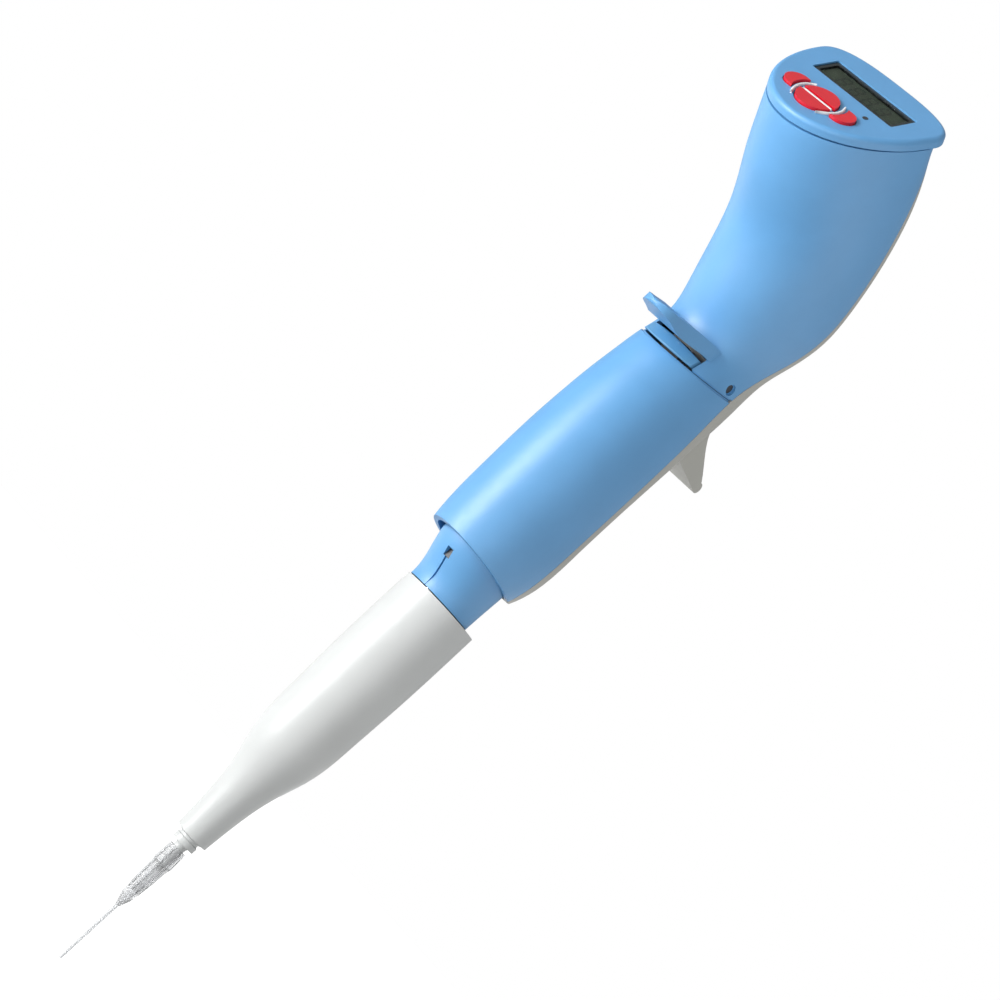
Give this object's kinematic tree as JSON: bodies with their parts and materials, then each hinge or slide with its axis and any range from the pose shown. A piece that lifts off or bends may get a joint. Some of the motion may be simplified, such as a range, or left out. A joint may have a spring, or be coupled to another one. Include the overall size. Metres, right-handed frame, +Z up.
{
  "type": "adjustable micropipette",
  "caption": "Hand-held electronic micropipette with an angled display head, finger rest, thumb ejector lever, tapered lower sleeve and a fine disposable tip.",
  "frame": {"origin": "on the nozzle axis, at the lower face of the ejector ring, where the tip seat begins", "axes": "+Z up along the barrel away from the tip, X across the width (mirror plane X = 0), -Y towards the display, finger rest and start trigger, +Y towards the thumb lever"},
  "size_m": [0.0459, 0.092, 0.3054],
  "materials": {
    "blue_shell": "satin moulded plastic",
    "grey_shell": "satin moulded plastic",
    "white_sleeve": "satin moulded plastic",
    "red_button": "soft gloss plastic",
    "black_plastic": "gloss plastic",
    "dark_plastic": "moulded plastic",
    "teal_plastic": "moulded plastic",
    "lens": "clear pane",
    "lcd": "liquid crystal panel",
    "tip_plastic": "clear polypropylene",
    "rubber": "silicone rubber",
    "steel": "ground steel",
    "brass": "turned brass",
    "board": "solder-masked circuit board",
    "battery_wrap": "heat-shrink wrap"
  },
  "bodies": {
    "handle": {"grip_shell": "blue_shell", "head_shell": "blue_shell", "rear_shell": "grey_shell", "face_plate": "blue_shell", "display_bezel": "black_plastic", "display_lens": "lens", "lcd_panel": "lcd", "status_led": "dark_plastic", "keypad_mat": "rubber", "main_board": "board", "finger_rest": "blue_shell", "start_switch": "dark_plastic", "switch_bracket": "steel", "ejector_spring": "steel", "lever_pin": "dark_plastic", "pin_spacers": "dark_plastic", "neck_collar": "blue_shell", "neck_catch": "dark_plastic", "nozzle_shaft": "white_sleeve", "piston_seal": "white_sleeve", "seal_retainer": "brass", "guide_tube": "dark_plastic", "motor_can": "steel", "motor_bearings": "brass", "chassis": "dark_plastic", "motor_posts": "brass", "battery": "battery_wrap", "battery_cradle": "dark_plastic", "charging_jack": "dark_plastic", "case_screws": "steel"},
    "select_key": {"button_select": "red_button"},
    "enter_key": {"button_enter": "red_button"},
    "left_key": {"button_left": "red_button"},
    "right_key": {"button_right": "red_button"},
    "trigger": {"start_trigger": "teal_plastic"},
    "lever": {"ejector_lever": "grey_shell"},
    "ejector": {"ejector_sleeve": "white_sleeve", "sleeve_set_screw": "steel", "ejector_ring": "white_sleeve", "ejector_rod": "steel", "ejector_yoke": "steel", "rod_clip": "steel"},
    "tip": {"disposable_tip": "tip_plastic"},
    "rotor": {"motor_rotor": "dark_plastic", "lead_screw": "steel"},
    "piston": {"piston_rod": "steel", "piston_carriage": "dark_plastic", "drive_nut": "brass"}
  },
  "joints": [
    {"name": "select_press", "type": "slide", "parent": "handle", "child": "select_key", "axis": [0, 0.7431, -0.6691], "range_m": [0, 0.0004], "stiffness_N_per_m": 2500, "springref_m": -0.0001},
    {"name": "enter_press", "type": "slide", "parent": "handle", "child": "enter_key", "axis": [0, 0.7431, -0.6691], "range_m": [0, 0.0004], "stiffness_N_per_m": 2500, "springref_m": -0.0001},
    {"name": "left_press", "type": "slide", "parent": "handle", "child": "left_key", "axis": [0, 0.7431, -0.6691], "range_m": [0, 0.0004], "stiffness_N_per_m": 2500, "springref_m": -0.0001},
    {"name": "right_press", "type": "slide", "parent": "handle", "child": "right_key", "axis": [0, 0.7431, -0.6691], "range_m": [0, 0.0004], "stiffness_N_per_m": 2500, "springref_m": -0.0001},
    {"name": "trigger_press", "type": "slide", "parent": "handle", "child": "trigger", "axis": [0, 1, 0], "range_m": [0, 0.0014], "stiffness_N_per_m": 900, "springref_m": -0.0005},
    {"name": "lever_swing", "type": "hinge", "parent": "handle", "child": "lever", "pos_m": [0, -0.0048, 0.1809], "axis": [-1, 0, 0], "range_deg": [0, 16]},
    {"name": "ejector_slide", "type": "slide", "parent": "handle", "child": "ejector", "axis": [0, 0, -1], "range_m": [0, 0.003], "stiffness_N_per_m": 900, "springref_m": -0.003, "deforming": ["ejector_spring"]},
    {"name": "tip_slide", "type": "slide", "parent": "handle", "child": "tip", "axis": [0, 0, -1], "range_m": [0, 0.003]},
    {"name": "screw_spin", "type": "hinge", "parent": "handle", "child": "rotor", "pos_m": [0, 0, 0.13], "axis": [0, 0, 1], "range_deg": [0, 2520]},
    {"name": "piston_slide", "type": "slide", "parent": "handle", "child": "piston", "axis": [0, 0, 1], "range_m": [0, 0.0105]}
  ],
  "couplings": [
    {"joint": "lever_swing", "follows": "ejector_slide", "rad_per_m": 93.084},
    {"joint": "tip_slide", "follows": "ejector_slide", "ratio": 1},
    {"joint": "screw_spin", "follows": "piston_slide", "rad_per_m": 4188.8}
  ]
}
